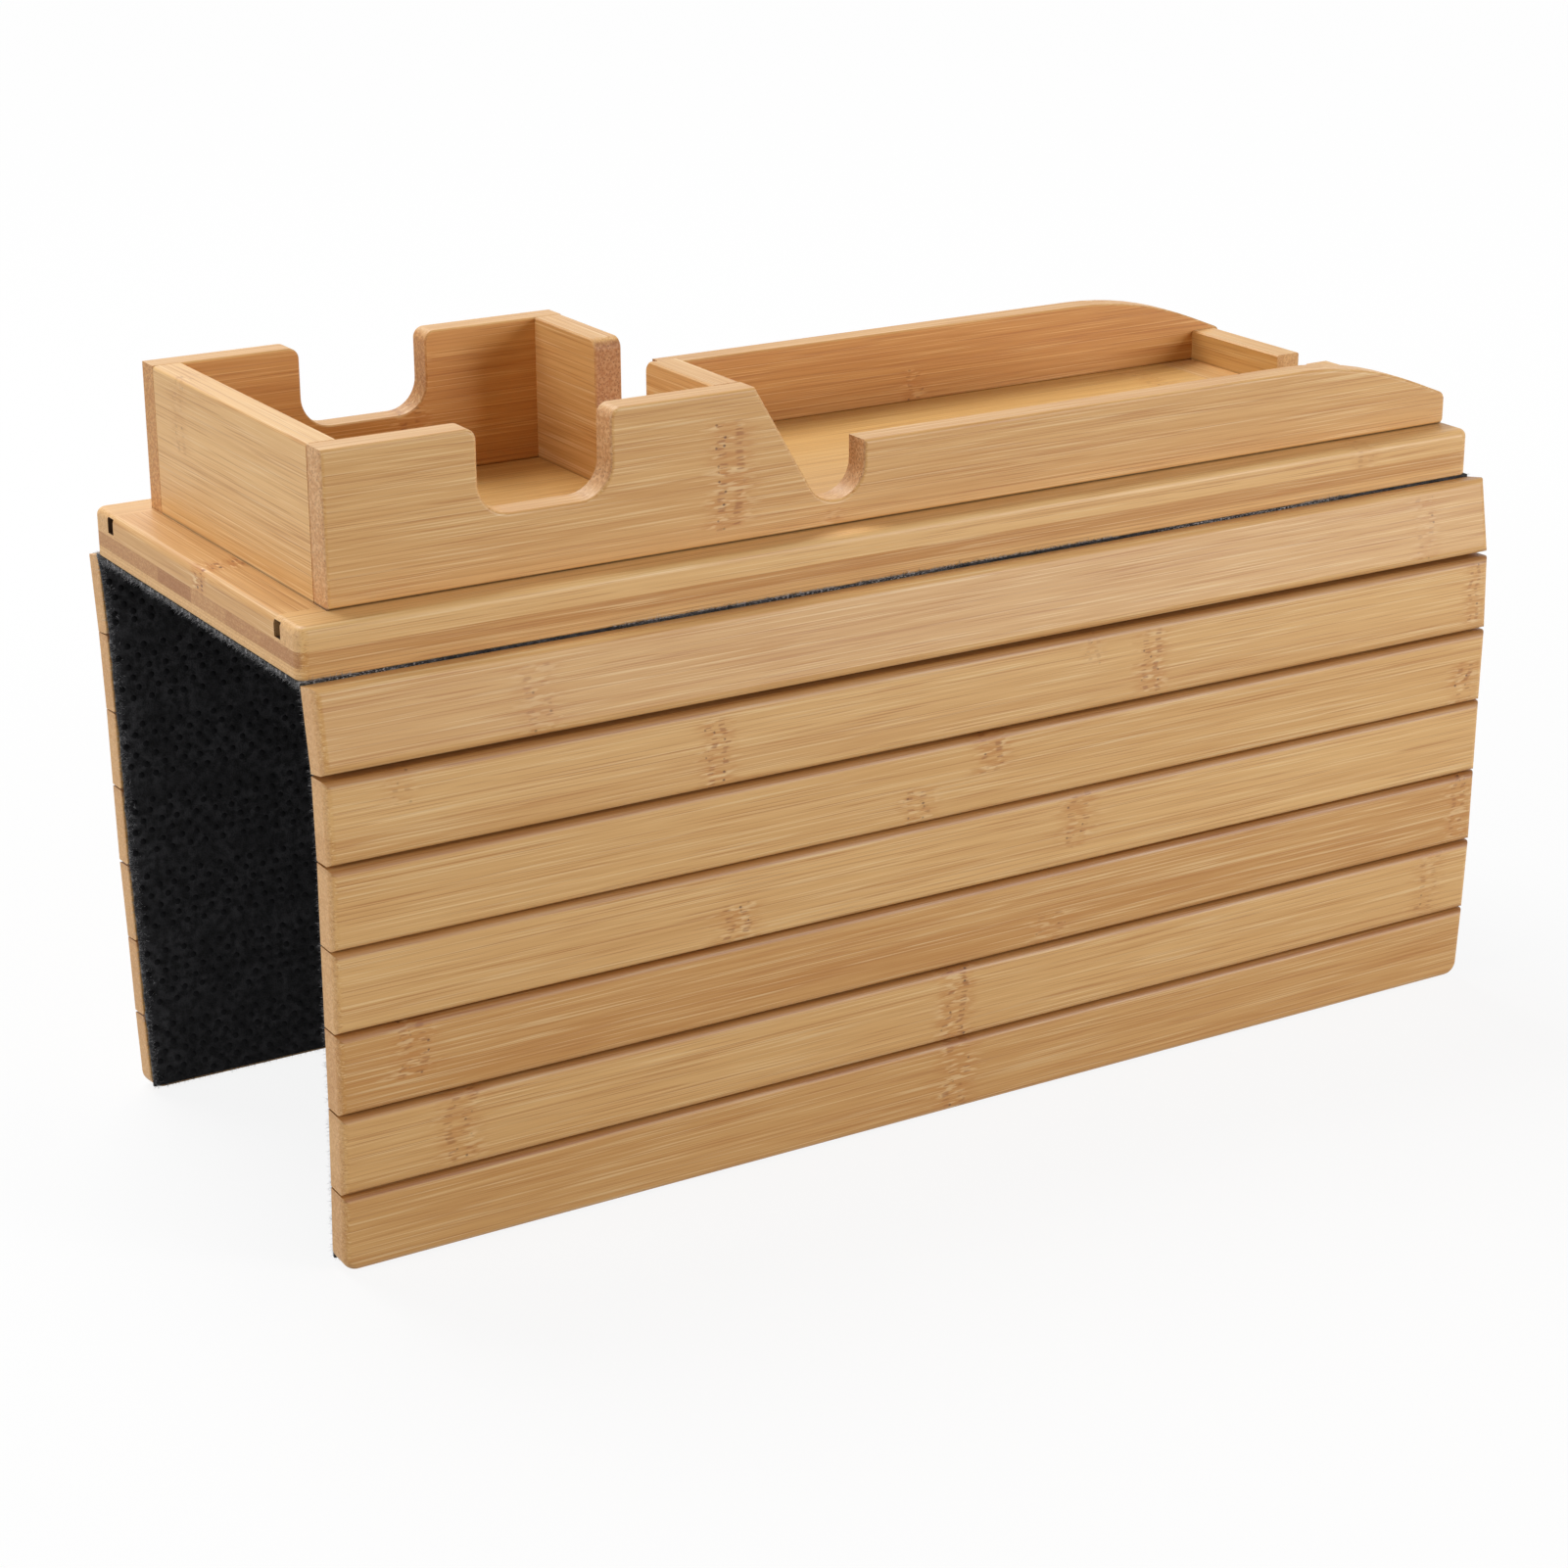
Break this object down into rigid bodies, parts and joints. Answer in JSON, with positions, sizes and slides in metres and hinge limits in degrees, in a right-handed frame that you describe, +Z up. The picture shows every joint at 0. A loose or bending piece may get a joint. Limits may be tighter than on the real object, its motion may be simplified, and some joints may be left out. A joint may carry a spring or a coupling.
{
  "type": "sofa arm tray",
  "caption": "Bamboo tray that lies over a sofa's arm: a board with a mug bay, a long bay and phone slots, between two slatted flaps that hang from a felt underside.",
  "frame": {"origin": "centre of the felt face under the board, which lies on the sofa's arm", "axes": "+X along the tray from the mug bay to the cable notch, -Y to the front flap, +Z up from the felt to the board"},
  "size_m": [0.36, 0.1491, 0.2024],
  "materials": {
    "bamboo_board": "satin clear lacquer on pale bamboo",
    "bamboo_core": "sawn end grain, lacquered",
    "bamboo_frame": "satin clear lacquer on pale bamboo",
    "bamboo_slat": "satin clear lacquer, with nodes",
    "screw_steel": "zinc plated",
    "felt": "near-black felt with small darker anti-slip dots"
  },
  "bodies": {
    "tray": {"board_front_strip": "bamboo_board", "board_back_strip": "bamboo_board", "board_left_end_strip": "bamboo_board", "board_right_end_strip": "bamboo_board", "board_panel": "bamboo_board", "board_core_1": "bamboo_core", "board_core_2": "bamboo_core", "board_core_3": "bamboo_core", "board_core_4": "bamboo_core", "board_core_5": "bamboo_core", "board_core_6": "bamboo_core", "board_bottom_ply": "bamboo_board", "front_rail": "bamboo_frame", "back_rail": "bamboo_frame", "left_end_panel": "bamboo_frame", "cup_wall": "bamboo_frame", "right_end_panel": "bamboo_frame", "frame_screws": "screw_steel", "board_felt": "felt"},
    "front_flap_1": {"front_slat_1": "bamboo_slat", "front_felt_1": "felt"},
    "front_flap_2": {"front_slat_2": "bamboo_slat", "front_felt_2": "felt"},
    "front_flap_3": {"front_slat_3": "bamboo_slat", "front_felt_3": "felt"},
    "front_flap_4": {"front_slat_4": "bamboo_slat", "front_felt_4": "felt"},
    "front_flap_5": {"front_slat_5": "bamboo_slat", "front_felt_5": "felt"},
    "front_flap_6": {"front_slat_6": "bamboo_slat", "front_felt_6": "felt"},
    "front_flap_7": {"front_slat_7": "bamboo_slat", "front_felt_7": "felt"},
    "back_flap_1": {"back_slat_1": "bamboo_slat", "back_felt_1": "felt"},
    "back_flap_2": {"back_slat_2": "bamboo_slat", "back_felt_2": "felt"},
    "back_flap_3": {"back_slat_3": "bamboo_slat", "back_felt_3": "felt"},
    "back_flap_4": {"back_slat_4": "bamboo_slat", "back_felt_4": "felt"},
    "back_flap_5": {"back_slat_5": "bamboo_slat", "back_felt_5": "felt"},
    "back_flap_6": {"back_slat_6": "bamboo_slat", "back_felt_6": "felt"},
    "back_flap_7": {"back_slat_7": "bamboo_slat", "back_felt_7": "felt"}
  },
  "joints": [
    {"name": "front_fold_1", "type": "hinge", "parent": "tray", "child": "front_flap_1", "pos_m": [0, -0.065, 0.002], "axis": [1, 0, 0], "range_deg": [-84, 25]},
    {"name": "front_fold_2", "type": "hinge", "parent": "front_flap_1", "child": "front_flap_2", "pos_m": [0, -0.06881, -0.01959], "axis": [1, 0, 0], "range_deg": [-12, 14]},
    {"name": "front_fold_3", "type": "hinge", "parent": "front_flap_2", "child": "front_flap_3", "pos_m": [0, -0.06956, -0.04103], "axis": [1, 0, 0], "range_deg": [-7, 19]},
    {"name": "front_fold_4", "type": "hinge", "parent": "front_flap_3", "child": "front_flap_4", "pos_m": [0, -0.06918, -0.06248], "axis": [1, 0, 0], "range_deg": [-3.5, 22.5]},
    {"name": "front_fold_5", "type": "hinge", "parent": "front_flap_4", "child": "front_flap_5", "pos_m": [0, -0.06899, -0.08392], "axis": [1, 0, 0], "range_deg": [-4, 22]},
    {"name": "front_fold_6", "type": "hinge", "parent": "front_flap_5", "child": "front_flap_6", "pos_m": [0, -0.06881, -0.10537], "axis": [1, 0, 0], "range_deg": [-6, 20]},
    {"name": "front_fold_7", "type": "hinge", "parent": "front_flap_6", "child": "front_flap_7", "pos_m": [0, -0.06787, -0.1268], "axis": [1, 0, 0], "range_deg": [-5, 21]},
    {"name": "back_fold_1", "type": "hinge", "parent": "tray", "child": "back_flap_1", "pos_m": [0, 0.065, 0.002], "axis": [1, 0, 0], "range_deg": [-7, 102]},
    {"name": "back_fold_2", "type": "hinge", "parent": "back_flap_1", "child": "back_flap_2", "pos_m": [0, 0.06195, -0.01971], "axis": [1, 0, 0], "range_deg": [-25.5, 0.5]},
    {"name": "back_fold_3", "type": "hinge", "parent": "back_flap_2", "child": "back_flap_3", "pos_m": [0, 0.06027, -0.0411], "axis": [1, 0, 0], "range_deg": [-24.5, 1.5]},
    {"name": "back_fold_4", "type": "hinge", "parent": "back_flap_3", "child": "back_flap_4", "pos_m": [0, 0.05952, -0.06253], "axis": [1, 0, 0], "range_deg": [-21.5, 4.5]},
    {"name": "back_fold_5", "type": "hinge", "parent": "back_flap_4", "child": "back_flap_5", "pos_m": [0, 0.05858, -0.08396], "axis": [1, 0, 0], "range_deg": [-18.5, 7.5]},
    {"name": "back_fold_6", "type": "hinge", "parent": "back_flap_5", "child": "back_flap_6", "pos_m": [0, 0.05634, -0.10529], "axis": [1, 0, 0], "range_deg": [-23.5, 2.5]},
    {"name": "back_fold_7", "type": "hinge", "parent": "back_flap_6", "child": "back_flap_7", "pos_m": [0, 0.05466, -0.12668], "axis": [1, 0, 0], "range_deg": [-20, 6]}
  ]
}
